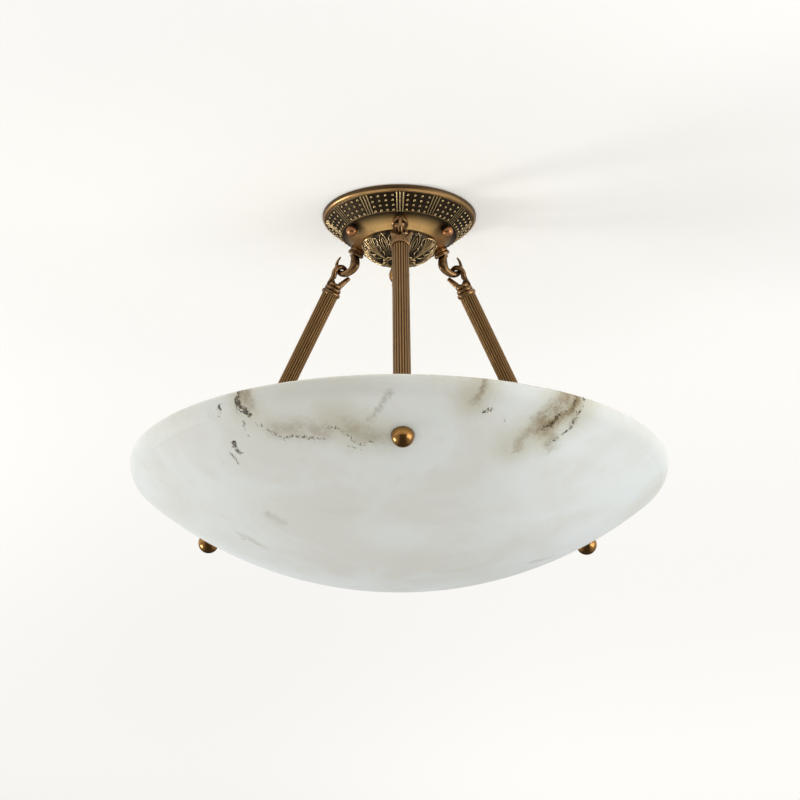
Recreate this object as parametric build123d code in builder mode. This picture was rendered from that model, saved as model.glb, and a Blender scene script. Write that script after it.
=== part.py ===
from build123d import *
import os
from math import asin, cos, degrees, radians, sin, sqrt, tan

# Alabaster bowl ceiling light. Sizes are in millimetres and degrees. The origin is the middle of
# the ceiling plane, +Z is up, the front is -Y, and azimuths count from the front towards +X.

# Layout
rim_drop = 255.8
rod_tilt = 30.0
hang_inset = 12.0
hang_drop = 40.7
rod_azimuths = {"front": 0.0, "right": 120.0, "left": -120.0}
eye_turns = {"front": 180.0, "right": 150.0, "left": 30.0}
screw_azimuths = {"left": -60.0, "right": 60.0, "rear": 180.0}
lamp_azimuths = {"left": -60.0, "right": 60.0, "rear": 180.0}

# Stone bowl
bowl_diameter = 500.0
bowl_crown_depth = 94.5
bowl_lip_height = 12.0
bowl_wall = 12.0
bowl_rim_width = 10.0
bowl_shoulder_round = 18.0
bowl_outer_round = 3.0
bowl_lip_flat = 0.3
bowl_inner_round = 2.0

# Canopy
canopy_diameter = 148.6
canopy_wall = 2.0
rim_edge = 1.0
rim_width = 3.8
rim_height = 5.2
rim_bulge = 0.8
band_width = 15.5
band_drop = 19.0
cove_slope = 30.0
cove_width = 18.0
land_width = 7.0

# Leaf boss
boss_inset = 2.0
boss_rim_height = 2.0
boss_height = 18.1
boss_bottom_diameter = 24.0
boss_swell = 3.4
boss_wall = 2.2

# Mounting bracket
bracket_margin = 5.0
bracket_thickness = 2.5
cable_hole_diameter = 20.0
slot_spacing = 70.0
slot_length = 16.0
slot_width = 5.2
foot_width = 14.0
foot_length = 13.0
foot_depth = 5.0

# Canopy screws
screw_inset = 5.0
screw_diameter = 5.0
screw_length = 15.0
screw_collar_diameter = 8.6
screw_collar_height = 5.0
screw_head_diameter = 10.6
screw_head_height = 5.6
screw_head_land = 1.0

# Terminal block
terminal_length = 34.0
terminal_width = 14.0
terminal_height = 11.0
terminal_ways = 3
terminal_hole_diameter = 3.6
terminal_screw_gap = 21.0

# Stem, its fixings and the turned ball
stem_diameter = 10.0
stem_bore = 6.4
stem_above_nut = 3.0
clamp_disc_inset = 3.0
clamp_disc_thickness = 2.5
stem_nut_width = 17.0
stem_nut_height = 8.0
ball_neck_diameter = 13.0
ball_neck_height = 6.5
ball_diameter = 20.0
ball_height = 15.0
ball_ring_diameter = 14.6
ball_ring_height = 5.0

# J hooks
hook_bend_radius = 9.5
hook_bend_flat = 1.8
hook_shank_length = 7.0
hook_root_diameter = 10.6
hook_bend_diameter = 5.8
hook_tip_diameter = 1.4
hook_spike_lean = 4.6
hook_spike_height = 9.0
hook_upper_ring_diameter = 14.6
hook_lower_ring_diameter = 16.0
hook_thread_diameter = 8.0
hook_thread_length = 12.0
hook_nut_width = 13.0
hook_nut_height = 6.0

# Rod heads
eye_bar_diameter = 4.6
eye_bend_radius = 6.4
eye_bend_angle = 160.0
eye_throat_height = 17.4
eye_long_root = 2.6
eye_short_root = 4.2
eye_short_reach = 10.2
eye_short_height = 11.0
eye_root_diameter = 6.2
eye_tip_diameter = 2.6
eye_short_tip_diameter = 4.2
eye_root_sink = 1.5
head_ring_height = 4.2
head_top_ring_diameter = 14.4
head_middle_ring_diameter = 16.6
head_flange_diameter = 19.0
ring_groove = 0.9

# Reeded rods and their fixings at the bowl
rod_diameter = 16.0
reed_count = 20
reed_depth = 0.9
rod_thread_diameter = 8.0
rod_thread_depth = 16.0
foot_washer_diameter = 26.0
foot_washer_thickness = 2.5
inner_gasket_thickness = 1.5
outer_gasket_thickness = 1.0
ball_nut_diameter = 20.0
ball_nut_height = 10.4
ball_nut_land = 1.2
ball_nut_thread_depth = 6.5

# Lamp hub, holders and lamps
lamp_below_rim = 14.0
hub_diameter = 42.0
hub_height = 36.0
hub_flat_distance = 18.5
hub_round = 4.0
hub_cap_diameter = 20.0
hub_cap_height = 12.0
hub_cap_land = 3.0
holder_nipple_diameter = 9.0
holder_nipple_length = 6.0
holder_base_diameter = 22.0
holder_base_length = 8.0
holder_diameter = 28.0
holder_length = 32.0
holder_socket_depth = 26.0
lamp_cap_diameter = 13.9
lamp_cap_length = 27.0
lamp_neck_length = 16.0
lamp_globe_diameter = 45.0

# Clearances
fit = 0.06
seat = 0.05
hang = 0.3
hook_play = 0.75
hole_clearance = 0.6
thread_run = 0.5

# Radii that follow the canopy's rim
canopy_radius = canopy_diameter / 2
hang_radius = canopy_radius - hang_inset
band_inner_radius = canopy_radius - rim_width - band_width
land_radius = band_inner_radius - cove_width
boss_radius = land_radius - boss_inset
clamp_disc_radius = land_radius - clamp_disc_inset
screw_radius = band_inner_radius - screw_inset
terminal_offset = screw_radius - terminal_screw_gap
bracket_radius = screw_radius + bracket_margin

up = Vector(0, 0, 1)
tilt_sin = sin(radians(rod_tilt))
tilt_cos = cos(radians(rod_tilt))
cove_sin = sin(radians(cove_slope))
cove_cos = cos(radians(cove_slope))


# Directions and planes
def outward(azimuth):
    """Unit vector away from the light's axis."""
    return Vector(sin(radians(azimuth)), -cos(radians(azimuth)), 0)


def radial_plane(azimuth):
    """Upright plane through the light's axis: x runs outwards and y runs up."""
    away = outward(azimuth)
    return Plane(origin=(0, 0, 0), x_dir=away, z_dir=away.cross(up))


def square_plane(azimuth, lean, radius, height, along=0.0):
    """Plane square to a leaning axis through (radius, height), moved down along that axis."""
    away = outward(azimuth)
    axis = away * sin(radians(lean)) - up * cos(radians(lean))
    return Plane(origin=away * radius + up * height + axis * along, x_dir=up.cross(away), z_dir=axis)


def profile_plane(square):
    """Plane through the axis of a square plane: x runs across it and y runs up it."""
    return Plane(origin=square.origin, x_dir=square.x_dir, z_dir=square.x_dir.cross(-square.z_dir))


def rod_plane(azimuth, along):
    """Plane square to a rod, at a length down the rod from the bar of its eye."""
    return square_plane(azimuth, rod_tilt, hang_radius, -hang_drop, along)


def cove_height(radius):
    """Height of the cove's outer face at a radius."""
    return -band_drop - (band_inner_radius - radius) * tan(radians(cove_slope))


def cove_plane(azimuth, radius, along=0.0):
    """Plane on the cove's outer face, moved out of the canopy."""
    return square_plane(azimuth, cove_slope, radius, cove_height(radius), along)


def lamp_plane(azimuth, distance):
    """Plane square to a lamp's axis, at a distance from the light's axis."""
    away = outward(azimuth)
    return Plane(origin=away * distance + up * lamp_height, x_dir=up.cross(away), z_dir=away)


def save(builder, name):
    """Labels a finished piece and writes it."""
    builder.part.label = name
    export_step(builder.part, f"parts/{name}.step")


# Shapes that several pieces share
def round_sections(path, sideways, turning_point, first, middle, last):
    """Round sections along a flat path, from its first end over a turning point to its last."""
    sections = []
    for share in (0, 0.25, 0.5, 0.75, 1, 1.25, 1.5, 1.75, 2):
        before = min(share, 1)
        after = max(share - 1, 0)
        place = turning_point * before + (1 - turning_point) * after
        diameter = first + (middle - first) * before + (last - middle) * after
        with BuildSketch(Plane(origin=path @ place, x_dir=sideways, z_dir=path % place)) as section:
            Circle(diameter / 2)
        sections.append(section.sketch)
    return sections


def turned_rings(top, ring_height, ring_diameters):
    """Outline of half-round rings one under the other, from the turning axis and back to it."""
    height = top
    corner = (0, top)
    for diameter in ring_diameters:
        groove = diameter / 2 - ring_groove
        Line(corner, (groove, height))
        ThreePointArc((groove, height), (diameter / 2, height - ring_height / 2), (groove, height - ring_height))
        height = height - ring_height
        corner = (groove, height)
    Polyline(corner, (0, height), (0, top))


def dome(radius, edge, top):
    """Round cap on a turning axis, from its top out to its edge."""
    rise = edge - top
    sphere = (radius**2 + rise**2) / (2 * rise)
    CenterArc((0, top + sphere), sphere, 270, degrees(asin(radius / sphere)))


# Where the rods cross the bowl
bowl_radius = bowl_diameter / 2
bowl_sphere = (bowl_radius**2 + bowl_crown_depth**2) / (2 * bowl_crown_depth)
bowl_inner_sphere = bowl_sphere - bowl_wall
bowl_bottom = -rim_drop - bowl_lip_height - bowl_crown_depth
sphere_height = bowl_bottom + bowl_sphere


def rod_reach(sphere, offset):
    """Length down a rod from its eye's bar to a sphere of the bowl, beside the axis by an offset."""
    radius = hang_radius + offset * tilt_cos
    height = -hang_drop + offset * tilt_sin - sphere_height
    towards = radius * tilt_sin - height * tilt_cos
    return sqrt(towards**2 - radius**2 - height**2 + sphere**2) - towards


def seat_reaches(sphere, diameter):
    """Reach at the inner and outer edge of a round seat on a rod's axis."""
    return rod_reach(sphere, -diameter / 2), rod_reach(sphere, diameter / 2)


inner_seat_diameter = foot_washer_diameter + 2 * hang
outer_seat_diameter = ball_nut_diameter + 2 * hang
inner_seat = max(seat_reaches(bowl_inner_sphere, inner_seat_diameter)) + seat
outer_seat = min(seat_reaches(bowl_sphere, outer_seat_diameter)) - seat
rod_top = eye_throat_height + 3 * head_ring_height
rod_bottom = inner_seat - inner_gasket_thickness - foot_washer_thickness
nut_base = outer_seat + outer_gasket_thickness + seat

# Where the J hooks bend, seen in their upright plane
hook_contact = hook_bend_radius - hook_bend_diameter / 2 - eye_bar_diameter / 2 - hook_play
bend_x = hang_radius - hook_contact * tilt_sin
bend_y = -hang_drop + hook_contact * tilt_cos
shank_x = bend_x - hook_bend_flat - hook_bend_radius
shank_top = bend_y + hook_shank_length
hook_collar_length = (cove_height(shank_x) - shank_top) * cove_cos
hook_radius = shank_x - hook_collar_length * cove_sin

# Heights on the light's axis
land_height = cove_height(land_radius)
boss_bottom = land_height - boss_height
disc_bottom = land_height + canopy_wall
nut_bottom = disc_bottom + clamp_disc_thickness
stem_top = nut_bottom + stem_nut_height + stem_above_nut
lamp_height = -rim_drop - lamp_below_rim
hub_bottom = lamp_height - hub_height / 2
hub_top = lamp_height + hub_height / 2
stem_bottom = hub_bottom - hub_cap_height / 2

os.makedirs("parts", exist_ok=True)

# Canopy: rounded rim, sloping band, cove and flat land in one spun shell
rim_foot = (canopy_radius - rim_width, -rim_height)
rim_middle = (canopy_radius - rim_width / 2 + rim_bulge, -(rim_edge + rim_height) / 2 - rim_bulge)
with BuildPart() as canopy:
    with BuildSketch(Plane.XZ):
        with BuildLine():
            Line((canopy_radius, 0), (canopy_radius, -rim_edge))
            ThreePointArc((canopy_radius, -rim_edge), rim_middle, rim_foot)
            Line(rim_foot, (band_inner_radius, -band_drop))
            Line((band_inner_radius, -band_drop), (land_radius, land_height))
            Line((land_radius, land_height), (land_radius - land_width, land_height))
            offset(amount=canopy_wall, side=Side.RIGHT, kind=Kind.INTERSECTION)
        make_face()
    revolve(axis=Axis.Z)
    for azimuth in rod_azimuths.values():
        with BuildSketch(cove_plane(azimuth, hook_radius)):
            Circle(hook_thread_diameter / 2 + hole_clearance)
        extrude(amount=2 * canopy_wall, both=True, mode=Mode.SUBTRACT)
    for azimuth in screw_azimuths.values():
        with BuildSketch(cove_plane(azimuth, screw_radius)):
            Circle(screw_diameter / 2 + hole_clearance)
        extrude(amount=2 * canopy_wall, both=True, mode=Mode.SUBTRACT)
save(canopy, "canopy")

# Leaf boss: a cup under the land, pulled up by the stem
boss_foot = boss_bottom_diameter / 2
boss_shoulder = land_height - boss_rim_height
boss_chord = Vector(boss_radius - boss_foot, boss_shoulder - boss_bottom)
boss_bow = Vector(boss_chord.Y, -boss_chord.X).normalized() * boss_swell
boss_middle = Vector((boss_radius + boss_foot) / 2, (boss_shoulder + boss_bottom) / 2) + boss_bow
with BuildPart() as leaf_boss:
    with BuildSketch(Plane.XZ):
        with BuildLine():
            Line((boss_radius, land_height), (boss_radius, boss_shoulder))
            ThreePointArc((boss_radius, boss_shoulder), boss_middle, (boss_foot, boss_bottom))
            Line((boss_foot, boss_bottom), (stem_diameter / 2 + hang, boss_bottom))
            offset(amount=boss_wall, side=Side.RIGHT, kind=Kind.INTERSECTION)
        make_face()
    revolve(axis=Axis.Z)
save(leaf_boss, "leaf_boss")

# Mounting bracket: a round plate with a cable hole, two slots and three bent feet
foot_radius = screw_radius - foot_depth * cove_sin
foot_height = cove_height(screw_radius) + foot_depth * cove_cos
foot_outer = (foot_radius + foot_length / 2 * cove_cos, foot_height + foot_length / 2 * cove_sin)
foot_inner = (foot_radius - foot_length / 2 * cove_cos, foot_height - foot_length / 2 * cove_sin)
with BuildPart() as mounting_bracket:
    with BuildSketch(Plane.XY.offset(-bracket_thickness)):
        Circle(bracket_radius)
        Circle(cable_hole_diameter / 2, mode=Mode.SUBTRACT)
        with GridLocations(slot_spacing, 0, 2, 1):
            SlotOverall(slot_length, slot_width, mode=Mode.SUBTRACT)
    extrude(amount=bracket_thickness)
    for azimuth in screw_azimuths.values():
        with BuildSketch(radial_plane(azimuth)):
            with BuildLine():
                Polyline(foot_inner, foot_outer, (foot_outer[0], -bracket_thickness / 2))
                offset(amount=bracket_thickness, side=Side.LEFT, kind=Kind.INTERSECTION)
            make_face()
        extrude(amount=foot_width / 2, both=True)
        with BuildSketch(cove_plane(azimuth, screw_radius)):
            Circle(screw_diameter / 2 + fit)
        extrude(amount=-screw_length, mode=Mode.SUBTRACT)
save(mounting_bracket, "mounting_bracket")

# Terminal block under the bracket: a wire hole along each way and two screw holes into it
terminal_pitch = terminal_length / terminal_ways
terminal_bottom = -bracket_thickness - terminal_height
with BuildPart() as terminal_block:
    with BuildSketch(Plane.XY.offset(terminal_bottom)):
        with Locations((0, terminal_offset)):
            Rectangle(terminal_length, terminal_width)
    extrude(amount=terminal_height)
    with BuildSketch(Plane.XZ.offset(-terminal_offset)):
        with Locations((0, terminal_bottom + terminal_height / 2)):
            with GridLocations(terminal_pitch, 0, terminal_ways, 1):
                Circle(terminal_hole_diameter / 2)
    extrude(amount=terminal_width, both=True, mode=Mode.SUBTRACT)
    with BuildSketch(Plane.XY.offset(terminal_bottom)):
        with Locations((0, terminal_offset)):
            with GridLocations(terminal_pitch, terminal_width / 2, terminal_ways, 2):
                Circle(terminal_hole_diameter / 2)
    extrude(amount=terminal_height / 2, mode=Mode.SUBTRACT)
save(terminal_block, "terminal_block")

# Dome-headed canopy screws
screw_head_radius = screw_head_diameter / 2
for side, azimuth in screw_azimuths.items():
    screw_seat = cove_plane(azimuth, screw_radius, screw_collar_height + seat)
    with BuildPart() as canopy_screw:
        with BuildSketch(profile_plane(screw_seat)):
            with BuildLine():
                Polyline(
                    (0, -screw_head_height),
                    (0, screw_collar_height + screw_length),
                    (screw_diameter / 2, screw_collar_height + screw_length),
                    (screw_diameter / 2, 0),
                    (screw_head_radius, 0),
                    (screw_head_radius, -screw_head_land),
                )
                dome(screw_head_radius, -screw_head_land, -screw_head_height)
            make_face()
        revolve(axis=Axis(screw_seat.origin, screw_seat.z_dir))
    save(canopy_screw, f"canopy_screw_{side}")

# Dark collars that keep the screw heads off the cove
with BuildPart() as screw_collars:
    for azimuth in screw_azimuths.values():
        with BuildSketch(cove_plane(azimuth, screw_radius, seat)):
            Circle(screw_collar_diameter / 2)
            Circle(screw_diameter / 2 + hang, mode=Mode.SUBTRACT)
        extrude(amount=screw_collar_height - seat)
save(screw_collars, "screw_collars")

# Clamp disc on the inside of the land, and the hexagon nut above it
with BuildPart() as clamp_disc:
    with BuildSketch(Plane.XY.offset(disc_bottom)):
        Circle(clamp_disc_radius)
        Circle(stem_diameter / 2 + hang, mode=Mode.SUBTRACT)
    extrude(amount=clamp_disc_thickness)
save(clamp_disc, "clamp_disc")

with BuildPart() as stem_nut:
    with BuildSketch(Plane.XY.offset(nut_bottom)):
        RegularPolygon(stem_nut_width / 2, 6, major_radius=False)
        Circle(stem_diameter / 2 + fit, mode=Mode.SUBTRACT)
    extrude(amount=stem_nut_height)
save(stem_nut, "stem_nut")

# Stem tube from the nut down to the lamp hub
with BuildPart() as stem_tube:
    with BuildSketch(Plane.XY.offset(stem_bottom)):
        Circle(stem_diameter / 2)
        Circle(stem_bore / 2, mode=Mode.SUBTRACT)
    extrude(amount=stem_top - stem_bottom)
save(stem_tube, "stem_tube")

# Turned ball and ring that screw up against the boss
ball_top = boss_bottom - ball_neck_height
ball_foot = ball_top - ball_height
ball_neck = ball_neck_diameter / 2
with BuildPart() as turned_ball:
    with BuildSketch(Plane.XZ):
        with BuildLine():
            bore = stem_diameter / 2 + fit
            Polyline((bore, ball_foot - ball_ring_height), (bore, boss_bottom), (ball_neck, boss_bottom))
            Line((ball_neck, boss_bottom), (ball_neck, ball_top))
            ThreePointArc((ball_neck, ball_top), (ball_diameter / 2, ball_top - ball_height / 2), (ball_neck, ball_foot))
            ThreePointArc(
                (ball_neck, ball_foot),
                (ball_ring_diameter / 2, ball_foot - ball_ring_height / 2),
                (ball_neck, ball_foot - ball_ring_height),
            )
            Line((ball_neck, ball_foot - ball_ring_height), (bore, ball_foot - ball_ring_height))
        make_face()
    revolve(axis=Axis.Z)
save(turned_ball, "turned_ball")

# J hooks: threaded stub, two turned rings, and a tapering wire bent to a spike
for side, azimuth in rod_azimuths.items():
    hook_seat = cove_plane(azimuth, hook_radius, seat)
    with BuildLine(radial_plane(azimuth)) as hook_line:
        Line((shank_x, shank_top), (shank_x, bend_y))
        CenterArc((shank_x + hook_bend_radius, bend_y), hook_bend_radius, 180, 90)
        Line((shank_x + hook_bend_radius, bend_y - hook_bend_radius), (bend_x, bend_y - hook_bend_radius))
        CenterArc((bend_x, bend_y), hook_bend_radius, 270, 90)
        TangentArc(
            (bend_x + hook_bend_radius, bend_y),
            (bend_x + hook_bend_radius - hook_spike_lean, bend_y + hook_spike_height),
            tangent=up,
        )
    hook_path = hook_line.wire()
    to_contact = hook_shank_length + hook_bend_flat + hook_bend_radius * radians(90 + rod_tilt)
    with BuildPart() as canopy_hook:
        with BuildSketch(profile_plane(hook_seat)):
            with BuildLine():
                turned_rings(
                    0,
                    hook_collar_length / 2,
                    (hook_upper_ring_diameter, hook_lower_ring_diameter),
                )
            make_face()
        revolve(axis=Axis(hook_seat.origin, hook_seat.z_dir))
        with BuildSketch(hook_seat):
            Circle(hook_thread_diameter / 2)
        extrude(amount=-hook_thread_length)
        loft(
            round_sections(
                hook_path,
                radial_plane(azimuth).z_dir,
                to_contact / hook_path.length,
                hook_root_diameter,
                hook_bend_diameter,
                hook_tip_diameter,
            )
        )
    save(canopy_hook, f"canopy_hook_{side}")

# Hexagon nuts behind the hooks
hook_nut_rise = canopy_wall + (hook_nut_width / 2) ** 2 / hook_radius
with BuildPart() as hook_nuts:
    for azimuth in rod_azimuths.values():
        with BuildSketch(cove_plane(azimuth, hook_radius, -hook_nut_rise)):
            RegularPolygon(hook_nut_width / 2, 6, major_radius=False)
            Circle(hook_thread_diameter / 2 + fit, mode=Mode.SUBTRACT)
        extrude(amount=-hook_nut_height)
save(hook_nuts, "hook_nuts")

# Rod heads: turned rings with a threaded spigot below, and an open eye of two arms above
for side, azimuth in rod_azimuths.items():
    bar = rod_plane(azimuth, 0)
    turn = radians(eye_turns[side])
    eye_x = bar.x_dir * cos(turn) + bar.y_dir * sin(turn)
    eye = Plane(origin=bar.origin, x_dir=eye_x, z_dir=eye_x.cross(-bar.z_dir))
    root_y = -eye_throat_height - eye_root_sink
    with BuildLine(eye) as arm_line:
        CenterArc((0, -eye_bend_radius), eye_bend_radius, eye_bend_angle, -eye_bend_angle)
        TangentArc((eye_bend_radius, -eye_bend_radius), (eye_long_root, root_y), tangent=bar.z_dir)
    arm_path = arm_line.wire()
    past_bar = eye_bend_radius * radians(eye_bend_angle - 90)
    with BuildPart() as rod_head:
        with BuildSketch(eye):
            with BuildLine():
                turned_rings(
                    -eye_throat_height,
                    head_ring_height,
                    (head_top_ring_diameter, head_middle_ring_diameter, head_flange_diameter),
                )
            make_face()
        revolve(axis=Axis(bar.origin, bar.z_dir))
        with BuildSketch(rod_plane(azimuth, rod_top)):
            Circle(rod_thread_diameter / 2)
        extrude(amount=rod_thread_depth - thread_run)
        loft(
            round_sections(
                arm_path,
                eye.z_dir,
                past_bar / arm_path.length,
                eye_tip_diameter,
                eye_bar_diameter,
                eye_root_diameter,
            )
        )
        short_root = eye.from_local_coords((-eye_short_root, root_y))
        short_tip = eye.from_local_coords((-eye_short_reach, -eye_throat_height + eye_short_height))
        with BuildSketch(Plane(origin=short_root, z_dir=short_tip - short_root)):
            Circle(eye_root_diameter / 2)
        with BuildSketch(Plane(origin=short_tip, z_dir=short_tip - short_root)):
            Circle(eye_short_tip_diameter / 2)
        loft()
    save(rod_head, f"rod_head_{side}")

# Reeded rods, tapped at both ends
reed_pitch = 360 / reed_count
reed_floor = rod_diameter / 2 - reed_depth
for side, azimuth in rod_azimuths.items():
    with BuildPart() as reeded_rod:
        with BuildSketch(rod_plane(azimuth, rod_top)):
            with BuildLine():
                for reed in range(reed_count):
                    ThreePointArc(
                        Vector(reed_floor, 0).rotate(Axis.Z, reed * reed_pitch),
                        Vector(rod_diameter / 2, 0).rotate(Axis.Z, (reed + 0.5) * reed_pitch),
                        Vector(reed_floor, 0).rotate(Axis.Z, (reed + 1) * reed_pitch),
                    )
            make_face()
        extrude(amount=rod_bottom - rod_top)
        for end, depth in ((rod_top, rod_thread_depth), (rod_bottom, -rod_thread_depth)):
            with BuildSketch(rod_plane(azimuth, end)):
                Circle(rod_thread_diameter / 2 + fit)
            extrude(amount=depth, mode=Mode.SUBTRACT)
    save(reeded_rod, f"reeded_rod_{side}")

# Threaded studs from the rods through the bowl into the ball nuts
with BuildPart() as bowl_studs:
    for azimuth in rod_azimuths.values():
        with BuildSketch(rod_plane(azimuth, rod_bottom - rod_thread_depth + thread_run)):
            Circle(rod_thread_diameter / 2)
        extrude(amount=nut_base + ball_nut_thread_depth - rod_bottom + rod_thread_depth - 2 * thread_run)
save(bowl_studs, "bowl_studs")

# Foot washers and gaskets on both sides of the stone
stud_hole = rod_thread_diameter / 2 + hang
gasket_rings = {
    "foot_washers": (rod_bottom, foot_washer_thickness, foot_washer_diameter),
    "inner_gaskets": (rod_bottom + foot_washer_thickness, inner_gasket_thickness, foot_washer_diameter),
    "outer_gaskets": (outer_seat, outer_gasket_thickness, ball_nut_diameter - 2 * hang),
}
for name, (along, thickness, diameter) in gasket_rings.items():
    with BuildPart() as rings:
        for azimuth in rod_azimuths.values():
            with BuildSketch(rod_plane(azimuth, along)):
                Circle(diameter / 2)
                Circle(stud_hole, mode=Mode.SUBTRACT)
            extrude(amount=thickness)
    save(rings, name)

# Ball nuts outside the bowl
nut_radius = ball_nut_diameter / 2
nut_bore = rod_thread_diameter / 2 + fit
for side, azimuth in rod_azimuths.items():
    nut_seat = rod_plane(azimuth, nut_base)
    with BuildPart() as ball_nut:
        with BuildSketch(profile_plane(nut_seat)):
            with BuildLine():
                Polyline(
                    (0, -ball_nut_height),
                    (0, -ball_nut_thread_depth),
                    (nut_bore, -ball_nut_thread_depth),
                    (nut_bore, 0),
                    (nut_radius, 0),
                    (nut_radius, -ball_nut_land),
                )
                dome(nut_radius, -ball_nut_land, -ball_nut_height)
            make_face()
        revolve(axis=Axis(nut_seat.origin, nut_seat.z_dir))
    save(ball_nut, f"ball_nut_{side}")

# Alabaster bowl with flat seats round its three holes
lip_foot = -rim_drop - bowl_lip_height
shoulder_reach = bowl_shoulder_round * tan((radians(90) - asin(bowl_radius / bowl_sphere)) / 2)
rim_round = min(bowl_outer_round, bowl_lip_height - shoulder_reach - bowl_lip_flat)
inner_rim = bowl_radius - bowl_rim_width
inner_lip_foot = sphere_height - sqrt(bowl_inner_sphere**2 - inner_rim**2)
outer_quarter = sphere_height - sqrt(bowl_sphere**2 - bowl_radius**2 / 4)
inner_quarter = sphere_height - sqrt(bowl_inner_sphere**2 - inner_rim**2 / 4)
with BuildPart() as bowl:
    with BuildSketch(Plane.XZ) as bowl_profile:
        with BuildLine():
            ThreePointArc((0, bowl_bottom), (bowl_radius / 2, outer_quarter), (bowl_radius, lip_foot))
            Polyline(
                (bowl_radius, lip_foot),
                (bowl_radius, -rim_drop),
                (inner_rim, -rim_drop),
                (inner_rim, inner_lip_foot),
            )
            ThreePointArc(
                (inner_rim, inner_lip_foot), (inner_rim / 2, inner_quarter), (0, bowl_bottom + bowl_wall)
            )
            Line((0, bowl_bottom + bowl_wall), (0, bowl_bottom))
        make_face()
        fillet(bowl_profile.vertices().sort_by_distance((bowl_radius, lip_foot))[0], bowl_shoulder_round)
        rim_corners = bowl_profile.vertices().group_by(Axis.Y)[-1].sort_by(Axis.X)
        fillet(rim_corners[0], bowl_inner_round)
        rim_corners = bowl_profile.vertices().group_by(Axis.Y)[-1].sort_by(Axis.X)
        fillet(rim_corners[-1], rim_round)
    revolve(axis=Axis.Z)
    for azimuth in rod_azimuths.values():
        with BuildSketch(rod_plane(azimuth, inner_seat)):
            Circle(inner_seat_diameter / 2)
        extrude(amount=-bowl_wall, mode=Mode.SUBTRACT)
        with BuildSketch(rod_plane(azimuth, outer_seat)):
            Circle(outer_seat_diameter / 2)
        extrude(amount=bowl_wall, mode=Mode.SUBTRACT)
        with BuildSketch(rod_plane(azimuth, inner_seat)):
            Circle(rod_thread_diameter / 2 + hole_clearance)
        extrude(amount=2 * bowl_wall, both=True, mode=Mode.SUBTRACT)
save(bowl, "bowl")

# Lamp hub with three flats, and the cap nut under it
with BuildPart() as lamp_hub:
    with BuildSketch(Plane.XY.offset(hub_bottom)):
        Circle(hub_diameter / 2)
    extrude(amount=hub_height)
    fillet(lamp_hub.edges(), hub_round)
    for azimuth in lamp_azimuths.values():
        with BuildSketch(lamp_plane(azimuth, hub_flat_distance)):
            Rectangle(hub_diameter, hub_height)
        extrude(amount=hub_diameter, mode=Mode.SUBTRACT)
        with BuildSketch(lamp_plane(azimuth, hub_flat_distance)):
            Circle(holder_nipple_diameter / 2 + fit)
        extrude(amount=-holder_nipple_length - thread_run, mode=Mode.SUBTRACT)
    with BuildSketch(Plane.XY.offset(hub_bottom)):
        Circle(stem_diameter / 2 + fit)
    extrude(amount=hub_height, mode=Mode.SUBTRACT)
save(lamp_hub, "lamp_hub")

hub_cap_radius = hub_cap_diameter / 2
cap_land_foot = hub_bottom - hub_cap_land
with BuildPart() as hub_cap:
    with BuildSketch(Plane.XZ):
        with BuildLine():
            cap_bore = stem_diameter / 2 + fit
            Polyline(
                (0, hub_bottom - hub_cap_height),
                (0, stem_bottom - thread_run),
                (cap_bore, stem_bottom - thread_run),
                (cap_bore, hub_bottom),
                (hub_cap_radius, hub_bottom),
                (hub_cap_radius, cap_land_foot),
            )
            EllipticalCenterArc(
                (0, cap_land_foot),
                hub_cap_radius,
                hub_cap_height - hub_cap_land,
                start_angle=270,
                arc_size=90,
            )
        make_face()
    revolve(axis=Axis.Z)
save(hub_cap, "hub_cap")

# Lamp holders: nipple into the hub, base cup and socket sleeve
holder_end = hub_flat_distance + holder_base_length + holder_length
socket_floor = holder_end - holder_socket_depth
for side, azimuth in lamp_azimuths.items():
    with BuildPart() as lamp_holder:
        for start, end, diameter in (
            (hub_flat_distance - holder_nipple_length, hub_flat_distance, holder_nipple_diameter),
            (hub_flat_distance, hub_flat_distance + holder_base_length, holder_base_diameter),
            (hub_flat_distance + holder_base_length, holder_end, holder_diameter),
        ):
            with BuildSketch(lamp_plane(azimuth, start)):
                Circle(diameter / 2)
            extrude(amount=end - start)
        with BuildSketch(lamp_plane(azimuth, socket_floor)):
            Circle(lamp_cap_diameter / 2 + fit)
        extrude(amount=holder_socket_depth, mode=Mode.SUBTRACT)
    save(lamp_holder, f"lamp_holder_{side}")

# Lamps: screw cap and globe
cap_start = socket_floor + thread_run
cap_end = cap_start + lamp_cap_length
globe_radius = lamp_globe_diameter / 2
globe_centre = cap_end + lamp_neck_length + globe_radius * cos(radians(45))
for side, azimuth in lamp_azimuths.items():
    with BuildPart() as lamp_cap:
        with BuildSketch(lamp_plane(azimuth, cap_start)):
            Circle(lamp_cap_diameter / 2)
        extrude(amount=lamp_cap_length)
        cap_rims = lamp_cap.edges().filter_by(GeomType.CIRCLE).sort_by_distance((0, 0, lamp_height))
        chamfer(cap_rims[0], lamp_cap_diameter / 5)
    save(lamp_cap, f"lamp_cap_{side}")
    globe_plane = profile_plane(lamp_plane(azimuth, cap_end))
    with BuildPart() as lamp_globe:
        with BuildSketch(globe_plane):
            with BuildLine():
                neck_end = (globe_radius * sin(radians(45)), -lamp_neck_length)
                tip = (0, cap_end - globe_centre - globe_radius)
                equator = (globe_radius, cap_end - globe_centre)
                TangentArc(neck_end, (lamp_cap_diameter / 2, 0), tangent=(-1, 1))
                Polyline((lamp_cap_diameter / 2, 0), (0, 0), tip)
                ThreePointArc(tip, equator, neck_end)
            make_face()
        revolve(axis=Axis(globe_plane.origin, globe_plane.y_dir))
    save(lamp_globe, f"lamp_globe_{side}")
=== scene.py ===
"""Alabaster bowl ceiling light: looks, ornament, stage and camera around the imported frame."""

from math import cos, pi, radians, sin, sqrt

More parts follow.
